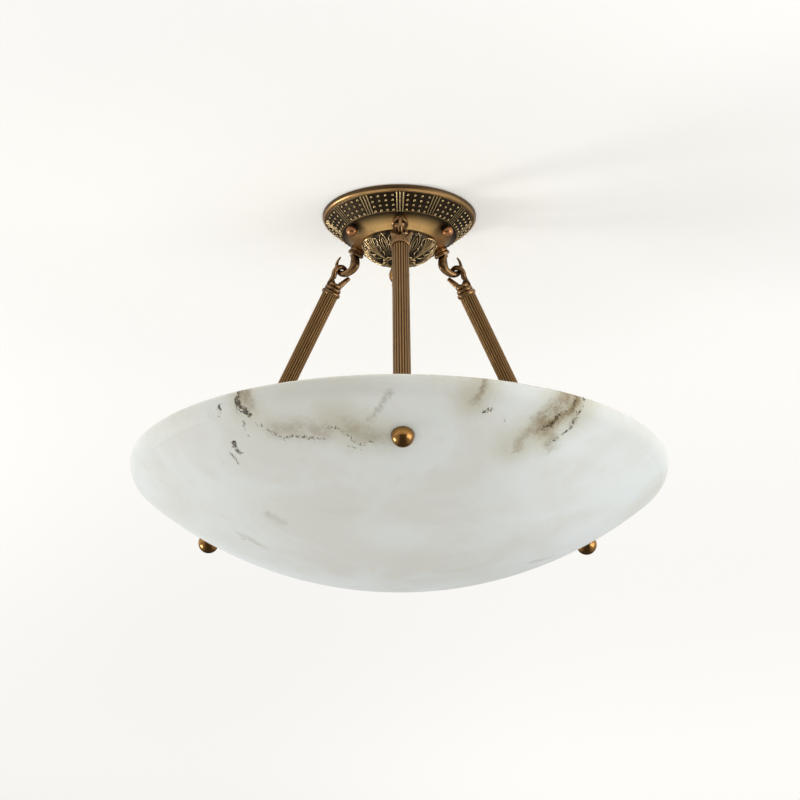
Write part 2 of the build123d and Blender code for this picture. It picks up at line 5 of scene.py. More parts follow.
import bpy
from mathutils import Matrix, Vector


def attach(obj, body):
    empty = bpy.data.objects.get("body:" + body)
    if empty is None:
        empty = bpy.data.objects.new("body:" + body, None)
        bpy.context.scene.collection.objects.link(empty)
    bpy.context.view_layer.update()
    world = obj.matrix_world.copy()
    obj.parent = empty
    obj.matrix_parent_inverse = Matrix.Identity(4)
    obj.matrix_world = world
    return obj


bl_info = {
    "name": "Alabaster bowl ceiling light",
    "version": (1, 0, 0),
    "blender": (4, 5, 0),
    "location": "3D View > Sidebar > Ceiling light",
    "description": "Dresses a hung stone bowl and its ornamented brass canopy",
    "category": "Object",
}

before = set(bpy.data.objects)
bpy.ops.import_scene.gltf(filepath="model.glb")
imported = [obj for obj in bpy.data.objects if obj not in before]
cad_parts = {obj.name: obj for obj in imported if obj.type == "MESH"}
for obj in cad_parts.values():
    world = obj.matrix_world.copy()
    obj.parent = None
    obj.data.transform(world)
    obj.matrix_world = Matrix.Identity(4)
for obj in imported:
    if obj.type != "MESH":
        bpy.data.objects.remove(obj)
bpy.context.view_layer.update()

MM = 0.001
PER_METRE = 1000.0
# Azimuths of the rods with their hooks and nuts, and of the canopy's screws
ROD_SIDES = {"front": 0.0, "left": -120.0, "right": 120.0}
SCREW_SIDES = {"left": -60.0, "right": 60.0, "rear": 180.0}
LAMP_SIDES = ("left", "right", "rear")


def mm(*values):
    """A point given in millimetres, in metres."""
    return Vector(values) * MM


def outward(azimuth):
    """Unit vector away from the light's axis; azimuths count from the front towards +X."""
    return Vector((sin(radians(azimuth)), -cos(radians(azimuth)), 0.0))


def count_setting(name, description, default, least=1):
    """A number of copies that a user may change."""
    return bpy.props.IntProperty(name=name, description=description, default=default, min=least)


def length_setting(name, description, default):
    """A size in metres that a user may change."""
    return bpy.props.FloatProperty(
        name=name, description=description, default=default, min=0.0, unit="LENGTH"
    )


def colour_setting(name, description, default):
    """A linear colour that a user may change."""
    return bpy.props.FloatVectorProperty(
        name=name, description=description, default=default, min=0.0, max=1.0, size=3, subtype="COLOR"
    )


class StoneSettings(bpy.types.PropertyGroup):
    """Colours of the alabaster."""

    milk: colour_setting("Milk", "Pale grey-white body of the stone", (0.64, 0.65, 0.615))
    frost: colour_setting("Frost", "Cooler, lighter drifts", (0.675, 0.705, 0.69))
    honey: colour_setting("Honey", "Warm greenish clouds", (0.605, 0.605, 0.54))
    smoke: colour_setting("Smoke", "Smoky stain beside the veins", (0.205, 0.142, 0.06))
    crumb: colour_setting("Crumb", "Dark crumbs in the veins", (0.03, 0.022, 0.011))
    olive: colour_setting("Olive", "Lighter cores of the crumbs", (0.15, 0.12, 0.06))
    shade: colour_setting("Shade", "Tint of the broad warm shade in front", (0.905, 0.885, 0.855))
    stain: colour_setting("Stain", "Tint of the wide stains round the veins", (0.78, 0.74, 0.62))


class MetalSettings(bpy.types.PropertyGroup):
    """Colours of the brass and bronze."""

    gold: colour_setting("Gold", "Rubbed high places of the ornament", (0.60, 0.43, 0.22))
    rim: colour_setting("Rim", "Bronze of the canopy's rim", (0.66, 0.39, 0.165))
    cove: colour_setting("Cove", "Satin brass of the canopy's cove", (0.80, 0.495, 0.205))
    bronze: colour_setting("Bronze", "Hooks and rod heads", (0.265, 0.15, 0.068))
    reed: colour_setting("Reed", "Rubbed tops of the reeds", (0.33, 0.185, 0.072))
    polish: colour_setting("Polish", "Ball nuts", (0.35, 0.18, 0.055))
    copper: colour_setting("Copper", "Canopy screws", (0.44, 0.195, 0.085))
    collar: colour_setting("Collar", "Dark collars under the screws", (0.06, 0.045, 0.03))
    ground: colour_setting("Ground", "Dark ground between the leaves", (0.055, 0.043, 0.03))
    patina: colour_setting("Patina", "Blackened recesses", (0.008, 0.0092, 0.0092))


class CanopySettings(bpy.types.PropertyGroup):
    """Beads and ribs on the canopy's sloping band."""

    panels: count_setting("Panels", "Beaded panels round the band", 12)
    rows: count_setting("Rows", "Beads down a panel", 4)
    columns: count_setting("Columns", "Beads across a panel", 4)
    ribs: count_setting("Ribs", "Ribs between two panels", 3)
    bead: length_setting("Bead", "Radius of a bead", 1.35 * MM)
    rib: length_setting("Rib", "Half width of a rib", 0.85 * MM)


class BossSettings(bpy.types.PropertyGroup):
    """Carved leaves of the boss."""

    leaves: count_setting("Leaves", "Leaves round the boss", 6, least=3)
    ridge: bpy.props.FloatProperty(
        name="Ridge", description="Thickness of the carved ridges, 1 as cast", default=1.0, min=0.1, max=3.0
    )


class StageSettings(bpy.types.PropertyGroup):
    """Ceiling, background and light."""

    background: colour_setting("Background", "Pale colour behind the light", (0.956, 0.939, 0.905))
    softbox: bpy.props.FloatProperty(
        name="Softbox", description="Power of the left softbox", default=22.0, min=0.0, unit="POWER"
    )


class LightSettings(bpy.types.PropertyGroup):
    """All settings of the ceiling light."""

    stone: bpy.props.PointerProperty(type=StoneSettings)
    metal: bpy.props.PointerProperty(type=MetalSettings)
    canopy: bpy.props.PointerProperty(type=CanopySettings)
    boss: bpy.props.PointerProperty(type=BossSettings)
    stage: bpy.props.PointerProperty(type=StageSettings)


# Node wiring: kinds of sockets, then the helpers
VALUE = "NodeSocketFloat"
WHOLE = "NodeSocketInt"
VECTOR = "NodeSocketVector"
COLOUR = "NodeSocketColor"
MATERIAL = "NodeSocketMaterial"


class Wires:
    """Adds nodes to one tree and links them."""

    def __init__(self, tree):
        self.tree = tree

    def put(self, socket, value):
        """Links a socket, or sets its own value."""
        if isinstance(value, bpy.types.NodeSocket):
            self.tree.links.new(value, socket)
        elif value is not None:
            socket.default_value = value

    def node(self, kind, inputs=None, **settings):
        """A node with its settings and inputs."""
        made = self.tree.nodes.new(kind)
        for name, value in settings.items():
            setattr(made, name, value)
        return self.fill(made, inputs or {})

    def fill(self, node, inputs):
        """Puts links and values into a node's inputs, which are named or numbered."""
        for name, value in inputs.items():
            self.put(node.inputs[name], value)
        return node

    def math(self, operation, first, second=None, clamp=False):
        """One sum."""
        inputs = {0: first, 1: second}
        return self.node("ShaderNodeMath", inputs, operation=operation, use_clamp=clamp).outputs[0]

    def times(self, first, second):
        """A product."""
        return self.math("MULTIPLY", first, second)

    def line(self, value, slope, start):
        """A value times a slope, plus a start."""
        inputs = {0: value, 1: slope, 2: start}
        return self.node("ShaderNodeMath", inputs, operation="MULTIPLY_ADD").outputs[0]

    def vector(self, operation, first, second=None):
        """One vector sum; a length or a dot product comes out as a value."""
        made = self.node("ShaderNodeVectorMath", {0: first, 1: second}, operation=operation)
        return made.outputs["Value" if operation in ("LENGTH", "DOT_PRODUCT", "DISTANCE") else "Vector"]

    def scaled(self, vector, factor):
        """A vector times a number."""
        made = self.node("ShaderNodeVectorMath", {0: vector, "Scale": factor}, operation="SCALE")
        return made.outputs["Vector"]

    def smooth(self, value, low, high, start=0.0, end=1.0):
        """A soft step from start to end while the value goes from low to high."""
        inputs = {"Value": value, "From Min": low, "From Max": high, "To Min": start, "To Max": end}
        return self.node("ShaderNodeMapRange", inputs, interpolation_type="SMOOTHSTEP").outputs["Result"]

    def mix(self, share, first, second, blend="MIX"):
        """Two colours mixed."""
        inputs = {0: share, 6: first, 7: second}
        return self.node("ShaderNodeMix", inputs, data_type="RGBA", blend_type=blend).outputs[2]

    def between(self, share, first, second):
        """A place a share of the way from one place to another."""
        return self.node("ShaderNodeMix", {0: share, 4: first, 5: second}, data_type="VECTOR").outputs[1]

    def parts(self, vector):
        """The three parts of a vector."""
        return self.node("ShaderNodeSeparateXYZ", {0: vector}).outputs

    def joined(self, **parts):
        """A vector joined from its parts."""
        return self.node("ShaderNodeCombineXYZ", parts).outputs[0]

    def noise(self, vector, scale, detail=3.0, roughness=0.55, distortion=0.0, colour=False):
        """Noise as a value or as a colour."""
        inputs = {"Vector": vector, "Scale": scale, "Detail": detail, "Roughness": roughness}
        made = self.node("ShaderNodeTexNoise", {**inputs, "Distortion": distortion})
        return made.outputs["Color" if colour else "Fac"]

    def group(self, tree, inputs):
        """Outputs of a node group."""
        return self.node("ShaderNodeGroup", inputs, node_tree=tree).outputs

    def place(self):
        """Object coordinates."""
        return self.node("ShaderNodeTexCoord").outputs["Object"]


def rgba(colour):
    """A colour with full alpha."""
    return (*colour, 1.0)


def new_tree(kind, name, inputs, outputs):
    """An empty node tree with named sockets, its wires, its entry and its exit."""
    tree = bpy.data.node_groups.new(name, kind)
    for side, sockets in (("INPUT", inputs), ("OUTPUT", outputs)):
        for socket, socket_kind in sockets:
            tree.interface.new_socket(socket, in_out=side, socket_type=socket_kind)
    wires = Wires(tree)
    return tree, wires, wires.node("NodeGroupInput").outputs, wires.node("NodeGroupOutput").inputs


def vein_group():
    """One vein between two points: a soft mask, and the distance beside it."""
    name = "vein stroke"
    if name in bpy.data.node_groups:
        return bpy.data.node_groups[name]
    inputs = [("Point", VECTOR), ("Start", VECTOR), ("End", VECTOR), ("Width", VALUE)]
    outputs = [("Mask", VALUE), ("Beside", VALUE)]
    tree, wires, entry, leave = new_tree("ShaderNodeTree", name, inputs, outputs)
    run = wires.vector("SUBTRACT", entry["End"], entry["Start"])
    reach = wires.vector("SUBTRACT", entry["Point"], entry["Start"])
    square = wires.vector("DOT_PRODUCT", run, run)
    along = wires.math("DIVIDE", wires.vector("DOT_PRODUCT", reach, run), square, clamp=True)
    beside = wires.vector("LENGTH", wires.vector("SUBTRACT", reach, wires.scaled(run, along)))
    wires.put(leave["Mask"], wires.smooth(beside, 0.0, entry["Width"], 1.0, 0.0))
    wires.put(leave["Beside"], beside)
    return tree


def patina_group():
    """Metal that is rubbed bright, darkened in drifts, and darkened by a given share, which is patina in
    recesses and, on the canopy's shell, painted shade.
    """
    name = "rubbed patina"
    if name in bpy.data.node_groups:
        return bpy.data.node_groups[name]
    inputs = [("Point", VECTOR), ("Bright", COLOUR), ("Dark", COLOUR)]
    inputs += [("Dark share", VALUE), ("Drift", VALUE), ("Gloss", VALUE)]
    outputs = [("Color", COLOUR), ("Roughness", VALUE), ("Height", VALUE)]
    tree, wires, entry, leave = new_tree("ShaderNodeTree", name, inputs, outputs)
    broad = wires.noise(entry["Point"], 90.0, detail=4.0, roughness=0.6)
    fine = wires.noise(entry["Point"], 900.0, roughness=0.6)
    drift = wires.times(wires.smooth(broad, 0.42, 0.72), entry["Drift"])
    dulled = wires.math("MAXIMUM", drift, entry["Dark share"], clamp=True)
    speckled = wires.line(fine, 0.25, 0.875)
    toned = wires.mix(1.0, entry["Bright"], speckled, "MULTIPLY")
    wires.put(leave["Color"], wires.mix(dulled, toned, entry["Dark"]))
    rough = wires.line(dulled, 0.22, entry["Gloss"])
    wires.put(leave["Roughness"], wires.line(fine, 0.10, rough))
    wires.put(leave["Height"], wires.line(fine, 0.3, broad))
    return tree


def new_material(name):
    """A material, its wires and its main shader."""
    material = bpy.data.materials.new(name)
    material.use_nodes = True
    return material, Wires(material.node_tree), material.node_tree.nodes["Principled BSDF"]


def bumped(wires, shader, height, strength, distance):
    """Gives a shader a bump."""
    bump = wires.node("ShaderNodeBump", {"Height": height, "Strength": strength, "Distance": distance})
    wires.put(shader.inputs["Normal"], bump.outputs["Normal"])


def axis_distance(wires, place):
    """Distance from the light's axis and height, in mm."""
    flat = wires.vector("LENGTH", wires.vector("MULTIPLY", place, (1.0, 1.0, 0.0)))
    return wires.times(flat, PER_METRE), wires.times(wires.parts(place)["Z"], PER_METRE)


def openness(wires, reach):
    """One on the open faces of a piece and less in its hollows; reach is in metres."""
    occlusion = wires.node("ShaderNodeAmbientOcclusion", {"Distance": reach}, samples=8, only_local=True)
    return occlusion.outputs["AO"]


def patinated(wires, shader, bright, dark, drift, gloss, dark_share=0.0, tint=None):
    """Wires the rubbed patina into a metal shader; a tint multiplies its colour."""
    inputs = {"Point": wires.place(), "Bright": bright, "Dark": dark}
    inputs.update({"Dark share": dark_share, "Drift": drift, "Gloss": gloss})
    finish = wires.group(patina_group(), inputs)
    colour = finish["Color"]
    if tint is not None:
        colour = wires.mix(1.0, colour, tint, "MULTIPLY")
    wires.fill(shader, {"Base Color": colour, "Roughness": finish["Roughness"], "Metallic": 1.0})
    return finish


def metal(name, bright, dark, drift=0.35, gloss=0.28, reach=None, bump=0.15):
    """Patinated metal; reach is the distance, in metres, within which hollows darken."""
    material, wires, shader = new_material(name)
    dark_share = 0.0
    if reach:
        dark_share = wires.smooth(openness(wires, reach), 0.45, 0.9, 0.85, 0.0)
    finish = patinated(wires, shader, rgba(bright), rgba(dark), drift, gloss, dark_share)
    bumped(wires, shader, finish["Height"], bump, distance=0.4 * MM)
    return material


def plain(name, colour, roughness, grain=400.0, metallic=0.0):
    """A plain moulded or plated surface with a fine grain."""
    material, wires, shader = new_material(name)
    grains = wires.noise(wires.place(), grain, detail=4.0)
    shaded = wires.mix(1.0, rgba(colour), wires.line(grains, 0.3, 0.85), "MULTIPLY")
    wires.fill(shader, {"Base Color": shaded, "Roughness": roughness, "Metallic": metallic})
    bumped(wires, shader, grains, strength=0.2, distance=0.3 * MM)
    return material


def wear(nodes, material):
    """Gives CAD nodes a material."""
    for name in nodes:
        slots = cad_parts[name].data.materials
        slots.clear()
        slots.append(material)


# Stone, in mm: the sphere of the bowl's outer face and the radii where shade is painted on its lip
STONE_RADIUS = 377.9
STONE_CENTRE = (0.0, 0.0, 15.6)
LIP_RADII = (240.0, 249.0)
LIP_SHADE = 0.945
# Shifts that make the veins ragged, a start for the nearest vein, and what keeps a sign from being nought
WIDE_SHIFT = 8.0
TIGHT_SHIFT = 9.0
FAR_AWAY = 1000.0
TINY = 0.001
# The broad painted shade in front: where it fades out to the left, to the right and to the rear
SHADE_LEFT = (-240.0, -130.0)
SHADE_RIGHT = (60.0, 145.0)
SHADE_REAR = (-20.0, 80.0)
# Veins of the front half: places as (azimuth, height), then width and strength
RIGHT_CORE = ((36.4, -263), (36.0, -270), (34.4, -274), (33.0, -280), (31.8, -286))
RIGHT_CRACKLE = ((38.7, -262), (38.8, -266), (37.9, -271), (38.5, -280), (35.9, -292))
RIGHT_SMALL = ((16.1, -261), (15.6, -266), (14.3, -275))
LEFT_CHUNK = ((-34.6, -263), (-34.3, -270), (-33.3, -277))
LEFT_LOW = ((-41.0, -290), (-41.2, -296))
BAND_LEFT = ((-32.2, -284), (-29.8, -290), (-28.4, -295), (-25.5, -293), (-18.7, -298))
BAND_RIGHT = ((-17.0, -291), (-15.2, -292), (-11.6, -299), (-10.8, -303), (-6.7, -301))
SMOKE_VEINS = (
    (RIGHT_CORE, 13, 1.0),
    (((34.5, -265), (32.3, -272), (30.5, -280)), 16, 0.8),
    (((31.8, -286), (28.9, -288), (27.7, -295), (28.7, -300)), 8, 0.5),
    (((32.5, -282), (34.0, -287), (36.5, -294)), 10, 0.5),
    (((37.3, -267), (38.2, -277)), 8, 0.5),
    (RIGHT_SMALL, 6, 0.6),
    (((-33.2, -262), (-32.3, -270)), 11, 0.65),
    (((-28.5, -288), (-23.0, -289), (-18.7, -293)), 17, 0.42),
    (((-12.2, -292), (-9.5, -296), (-6.5, -298)), 15, 0.4),
    (((-2.6, -272), (-4.4, -278), (-7.1, -288)), 5, 0.35),
    (((-77, -332), (-80, -341)), 7, 0.3),
    (((-52, -331), (-51, -337)), 8, 0.25),
)
STAIN_VEINS = (
    (RIGHT_CORE, 44, 1.0),
    (((31.8, -286), (28.0, -297)), 36, 0.8),
    (RIGHT_SMALL, 26, 0.8),
    (((-34.0, -264), (-33.0, -274)), 24, 0.6),
    (((-30.0, -286), (-24.0, -289), (-18.0, -291)), 26, 0.3),
    (((-14.0, -289), (-9.0, -295), (-4.0, -297)), 34, 0.75),
)
CRUMB_VEINS = (
    (LEFT_CHUNK, 6.5, 1.0),
    (((-39.5, -268), (-40.2, -272)), 4.2, 0.95),
    (LEFT_LOW, 5.2, 1.0),
    (((-43.6, -296), (-44.2, -302)), 4.2, 0.75),
    (((-35.4, -280), (-35.7, -283)), 3.2, 0.75),
    (BAND_LEFT, 5.0, 0.6),
    (BAND_RIGHT, 5.0, 0.6),
    (((-13.0, -304), (-10.0, -305)), 4.0, 0.55),
    (RIGHT_CORE, 4.0, 0.75),
    (((33.7, -277), (32.9, -282)), 6.0, 0.9),
    (RIGHT_CRACKLE, 4.0, 0.72),
    (((18.4, -278), (17.0, -281)), 4.0, 0.75),
    (((21.7, -284), (22.3, -286)), 3.0, 0.6),
    (((-81, -333), (-80.5, -333)), 3.0, 0.7),
)
CRACK_VEINS = (
    (((-37.0, -262), (-39.9, -270), (-43.2, -272)), 1.0, 0.6),
    (((-35.2, -272), (-35.4, -280), (-36.5, -289)), 1.1, 0.75),
    (((-47.7, -297), (-48.6, -302)), 1.0, 0.55),
    (((-2.6, -272), (-7.1, -288)), 0.9, 0.4),
    (RIGHT_SMALL, 1.0, 0.6),
    (((-80, -333), (-80, -341)), 1.0, 0.4),
)


def on_stone(azimuth, height):
    """A place on the bowl's outer face, in mm."""
    reach = sqrt(STONE_RADIUS**2 - (height - STONE_CENTRE[2]) ** 2)
    return tuple(outward(azimuth) * reach + Vector((0.0, 0.0, height)))


def veins(wires, point, drawn):
    """Mask of the strongest of several veins, and the distance to the nearest."""
    total, nearest = 0.0, FAR_AWAY
    for places, width, strength in drawn:
        for start, end in zip(places, places[1:]):
            ends = {"Start": on_stone(*start), "End": on_stone(*end)}
            stroke = wires.group(vein_group(), {"Point": point, "Width": width, **ends})
            total = wires.math("MAXIMUM", wires.times(stroke["Mask"], strength), total)
            nearest = wires.math("MINIMUM", stroke["Beside"], nearest)
    return total, nearest


def stone_body(wires, point, colours):
    """Milky stone with frosty and honey drifts and a broad warm shade painted over its front, with both of
    its noises.
    """
    cloud = wires.noise(point, 0.011, detail=4.0, distortion=0.6)
    drift = wires.noise(point, 0.026, roughness=0.5, distortion=0.8)
    body = wires.mix(wires.smooth(cloud, 0.38, 0.64), rgba(colours.milk), rgba(colours.frost))
    body = wires.mix(wires.smooth(drift, 0.50, 0.78, 0.0, 0.5), body, rgba(colours.honey))
    # Painted shade over the bowl's front, fading out to the left, the right and the rear
    spot = wires.parts(point)
    left = wires.smooth(spot["X"], *SHADE_LEFT, 0.35, 1.0)
    right = wires.smooth(spot["X"], *SHADE_RIGHT, 1.0, 0.0)
    rear = wires.smooth(spot["Y"], *SHADE_REAR, 1.0, 0.0)
    shaded = wires.times(wires.times(left, right), rear)
    return wires.mix(shaded, body, rgba(colours.shade), "MULTIPLY"), cloud, drift


def folded(wires, point):
    """The point itself in the front half, and its twin half a turn round the axis in the rear half."""
    front = wires.math("SIGN", wires.math("SUBTRACT", TINY, wires.parts(point)["Y"]))
    return wires.vector("MULTIPLY", point, wires.joined(X=front, Y=front, Z=1.0))


def wander(wires, point):
    """A wide and a tight shift, in mm, that makes the veins ragged."""
    middle = (0.5, 0.5, 0.5)
    wide = wires.vector("SUBTRACT", wires.noise(point, 0.05, detail=2.0, colour=True), middle)
    tight = wires.vector("SUBTRACT", wires.noise(point, 0.25, colour=True), middle)
    return wires.vector("ADD", wires.scaled(wide, WIDE_SHIFT), wires.scaled(tight, TIGHT_SHIFT))


def veined(wires, point, body, colours):
    """The stone's body with stains, smoke, dark crumbs and hairline cracks drawn into it."""
    warped = wires.vector("ADD", folded(wires, point), wander(wires, point))
    grit = wires.noise(point, 0.6, detail=5.0, roughness=0.62)
    # Wide stains, and smoke in patches
    stain, _ = veins(wires, warped, STAIN_VEINS)
    stained = wires.mix(stain, body, rgba(colours.stain), "MULTIPLY")
    patches = wires.line(grit, 0.5, wires.noise(point, 0.09, roughness=0.6))
    smoke, _ = veins(wires, warped, SMOKE_VEINS)
    smoke = wires.times(smoke, wires.smooth(patches, 0.52, 0.86, 0.3, 1.0))
    smoked = wires.mix(smoke, stained, rgba(colours.smoke))
    # Dark crumbs with lighter cores
    reach, nearest = veins(wires, warped, CRUMB_VEINS)
    crumbs = wires.smooth(wires.line(reach, 0.42, grit), 0.70, 0.84)
    crumbs = wires.times(crumbs, wires.smooth(reach, 0.05, 0.3))
    cores = wires.smooth(wires.noise(point, 0.3), 0.46, 0.62)
    crumb = wires.mix(cores, rgba(colours.crumb), rgba(colours.olive))
    crumbled = wires.mix(wires.times(crumbs, 0.9), smoked, crumb)
    # Hairline cracks, and seams along the crumbs
    cracks, _ = veins(wires, warped, CRACK_VEINS)
    seams = wires.smooth(nearest, 0.2, 1.1, 0.75, 0.0)
    broken = wires.smooth(grit, 0.42, 0.58)
    cracks = wires.times(wires.math("MAXIMUM", cracks, seams), broken)
    return wires.mix(cracks, crumbled, rgba(colours.crumb))


def alabaster(colours):
    """Veined, satin, slightly translucent stone."""
    material, wires, shader = new_material("alabaster")
    place = wires.place()
    # A place in the wall has the colour of the outer face beside it.
    centred = wires.vector("SUBTRACT", wires.scaled(place, PER_METRE), STONE_CENTRE)
    on_face = wires.scaled(wires.vector("NORMALIZE", centred), STONE_RADIUS)
    point = wires.vector("ADD", on_face, STONE_CENTRE)
    body, cloud, drift = stone_body(wires, point, colours)
    final = veined(wires, point, body, colours)
    # Shade painted on the lip, darker towards its outer edge
    lip = wires.smooth(axis_distance(wires, place)[0], *LIP_RADII, 1.0, LIP_SHADE)
    inputs = {
        "Base Color": wires.mix(1.0, final, lip, "MULTIPLY"),
        "Roughness": wires.line(cloud, 0.2, 0.45),
        "Subsurface Weight": 0.25,
        "Subsurface Radius": (1.0, 0.85, 0.7),
        "Subsurface Scale": 8.0 * MM,
        "Specular IOR Level": 0.25,
    }
    wires.fill(shader, inputs)
    bumped(wires, shader, drift, strength=0.1, distance=0.8 * MM)
    return material


class LIGHT_OT_stone_bowl(bpy.types.Operator):
    """Veined alabaster on the bowl."""

    bl_idname = "ceiling_light.stone_bowl"
    bl_label = "Stone bowl"

    def execute(self, context):
        wear(["bowl"], alabaster(context.scene.ceiling_light.stone))
        return {"FINISHED"}


# Canopy, in mm: feet of the rim and of the band as (radius, height)
RIM_FOOT = (70.5, -5.2)
BAND_FOOT = (55.0, -19.0)
# Where shade is painted on the rim's edges, on the cove and round the screws
RIM_INNER_EDGE = (70.4, 71.5)
RIM_OUTER_EDGE = (72.7, 74.0)
COVE_SHADE = (40.0, 54.5)
SCREW_RADIUS = 50.0
SCREW_HEIGHT = -22.0
SCREW_SHADE = (5.0, 17.0)
# How dark the band's blackened ground and the painted shade get, from 0 to 1
BAND_DARKNESS = 0.96
EDGE_DARKNESS = 0.85
COVE_DARKNESS = 0.95
SCREW_DARKNESS = 0.8
# Brush marks to a mm of radius, and their drift along the three axes
BRUSH_MARKS = 5.0
BRUSH_DRIFT = (12.0, 12.0, 1.0)
# Ornament: angle between neighbours, run down the band as shares, lift off it, and taper of the ribs
BEAD_SPREAD = radians(5.9)
BEAD_RUN = (0.17, 0.90)
BEAD_LIFT = 0.25
RIB_SPREAD = radians(2.7)
RIB_RUN = (0.02, 1.0)
RIB_LIFT = 0.05
RIB_TAPER = 0.78


def canopy_shade(wires, place, radius):
    """Painted shade on the cove, darker towards the band and round the screws."""
    shade = wires.smooth(radius, *COVE_SHADE, 0.0, COVE_DARKNESS)
    for azimuth in SCREW_SIDES.values():
        spot = outward(azimuth) * SCREW_RADIUS + Vector((0.0, 0.0, SCREW_HEIGHT))
        away = wires.times(wires.vector("DISTANCE", place, tuple(spot * MM)), PER_METRE)
        shade = wires.math("MAXIMUM", shade, wires.smooth(away, *SCREW_SHADE, SCREW_DARKNESS, 0.0))
    return shade


def canopy_brass(colours):
    """Bronze rim, blackened band and brushed cove on one spun shell, with shade painted on the rim's edges
    and on the cove.
    """
    material, wires, shader = new_material("canopy brass")
    place = wires.place()
    radius, _ = axis_distance(wires, place)
    rim = wires.smooth(radius, RIM_FOOT[0] - 0.5, RIM_FOOT[0] + 0.1)
    cove = wires.smooth(radius, BAND_FOOT[0] - 0.1, BAND_FOOT[0] + 0.5, 1.0, 0.0)
    # Dark share: the band's blackened ground, and painted shade on both edges of the rim and on the cove
    ground = wires.math("SUBTRACT", BAND_DARKNESS, wires.math("MAXIMUM", rim, cove))
    inner_edge = wires.smooth(radius, *RIM_INNER_EDGE, EDGE_DARKNESS, 0.0)
    outer_edge = wires.smooth(radius, *RIM_OUTER_EDGE, 0.0, EDGE_DARKNESS)
    edges = wires.math("MAXIMUM", outer_edge, inner_edge)
    dark_share = wires.math("MAXIMUM", ground, wires.times(edges, rim))
    # Painted shade on the cove towards the band and round the screws
    shade = canopy_shade(wires, place, radius)
    dark_share = wires.math("MAXIMUM", dark_share, wires.times(shade, cove))
    # Brush marks round the axis
    turned = wires.vector("MULTIPLY", place, BRUSH_DRIFT)
    rings = wires.scaled(wires.joined(X=radius), BRUSH_MARKS)
    brushed = wires.noise(wires.vector("ADD", rings, turned), 1.0, roughness=0.7)
    tone = wires.mix(rim, rgba(colours.cove), rgba(colours.rim))
    streak = wires.line(brushed, 0.6, 0.7)
    patinated(wires, shader, tone, rgba(colours.patina), drift=0.25, gloss=0.24, dark_share=dark_share, tint=streak)
    bumped(wires, shader, brushed, strength=0.12, distance=0.2 * MM)
    return material


def band_relief(wires, place):
    """How far a place stands out of the band's cone, in mm."""
    radius, height = axis_distance(wires, place)
    run = Vector((RIM_FOOT[0] - BAND_FOOT[0], RIM_FOOT[1] - BAND_FOOT[1])).normalized()
    sideways = wires.times(wires.math("SUBTRACT", radius, BAND_FOOT[0]), run.y)
    downwards = wires.times(wires.math("SUBTRACT", height, BAND_FOOT[1]), -run.x)
    return wires.math("ADD", sideways, downwards)


def ornament_gold(name, colours, relief, low, high):
    """Gold on what stands out of its ground and black where it meets it."""
    material, wires, shader = new_material(name)
    dark_share = wires.smooth(relief(wires, wires.place()), low, high, 1.0, 0.0)
    gold, patina = rgba(colours.gold), rgba(colours.patina)
    patinated(wires, shader, gold, patina, drift=0.25, gloss=0.17, dark_share=dark_share)
    return material


def geometry_tree(name, inputs):
    """An empty Geometry Nodes tree with named inputs, its wires, its entry and its exit."""
    geometry = [("Geometry", "NodeSocketGeometry")]
    return new_tree("GeometryNodeTree", name, geometry + inputs, geometry)


def finish_tree(wires, entry, leave, points, instance, rotation=None):
    """Sets copies on points and ends the tree in real, smooth, painted geometry."""
    inputs = {"Points": points.outputs[0], "Instance": instance, "Rotation": rotation}
    placed = wires.node("GeometryNodeInstanceOnPoints", inputs).outputs["Instances"]
    real = wires.node("GeometryNodeRealizeInstances", {"Geometry": placed}).outputs["Geometry"]
    smooth = wires.node("GeometryNodeSetShadeSmooth", {"Geometry": real}).outputs["Geometry"]
    painted = wires.node("GeometryNodeSetMaterial", {"Geometry": smooth, "Material": entry["Material"]})
    wires.put(leave["Geometry"], painted.outputs["Geometry"])


def round_bars(wires, curve, radius, thickness, sides):
    """Round bars along curves: a profile of some radius, scaled along each curve."""
    profile = wires.node("GeometryNodeCurvePrimitiveCircle", {"Resolution": sides, "Radius": radius})
    inputs = {"Curve": curve, "Profile Curve": profile.outputs["Curve"], "Scale": thickness}
    inputs["Fill Caps"] = True
    return wires.node("GeometryNodeCurveToMesh", inputs).outputs["Mesh"]


def grown(name, tree, values, source=None):
    """Runs a Geometry Nodes tree and returns its result as a plain mesh object."""
    carrier = source or bpy.data.objects.new(name + " source", bpy.data.meshes.new(name))
    if carrier.name not in bpy.context.scene.collection.objects:
        bpy.context.scene.collection.objects.link(carrier)
    modifier = carrier.modifiers.new("growth", "NODES")
    modifier.node_group = tree
    for socket in tree.interface.items_tree:
        if socket.in_out == "INPUT" and socket.name in values:
            modifier[socket.identifier] = values[socket.name]
    bpy.context.view_layer.update()
    evaluated = carrier.evaluated_get(bpy.context.evaluated_depsgraph_get())
    mesh = bpy.data.meshes.new_from_object(evaluated)
    mesh.name = name
    carrier.modifiers.remove(modifier)
    bpy.data.objects.remove(carrier)
    piece = bpy.data.objects.new(name, mesh)
    bpy.context.scene.collection.objects.link(piece)
    return piece


def quotient(wires, value, step):
    """How many whole steps fit into a whole number; the small addition guards against rounding."""
    return wires.math("FLOOR", wires.math("DIVIDE", wires.math("ADD", value, 0.01), step))


def cone_points(wires, entry, across, down):
    """Azimuths, shares of the way down and count of places in columns and rows of groups."""
    index = wires.node("GeometryNodeInputIndex").outputs[0]
    per_group = wires.times(across, down)
    group = quotient(wires, index, per_group)
    within = wires.math("SUBTRACT", index, wires.times(group, per_group))
    row = quotient(wires, within, across)
    column = wires.math("SUBTRACT", within, wires.times(row, across))
    middle = wires.times(wires.math("SUBTRACT", across, 1.0), 0.5)
    aside = wires.times(wires.math("SUBTRACT", column, middle), entry["Spread"])
    step = wires.math("DIVIDE", 2 * pi, entry["Groups"])
    turn = wires.times(wires.math("ADD", group, entry["Offset"]), step)
    share = wires.math("DIVIDE", row, wires.math("MAXIMUM", wires.math("SUBTRACT", down, 1.0), 1.0))
    return wires.math("ADD", turn, aside), share, wires.times(entry["Groups"], per_group)


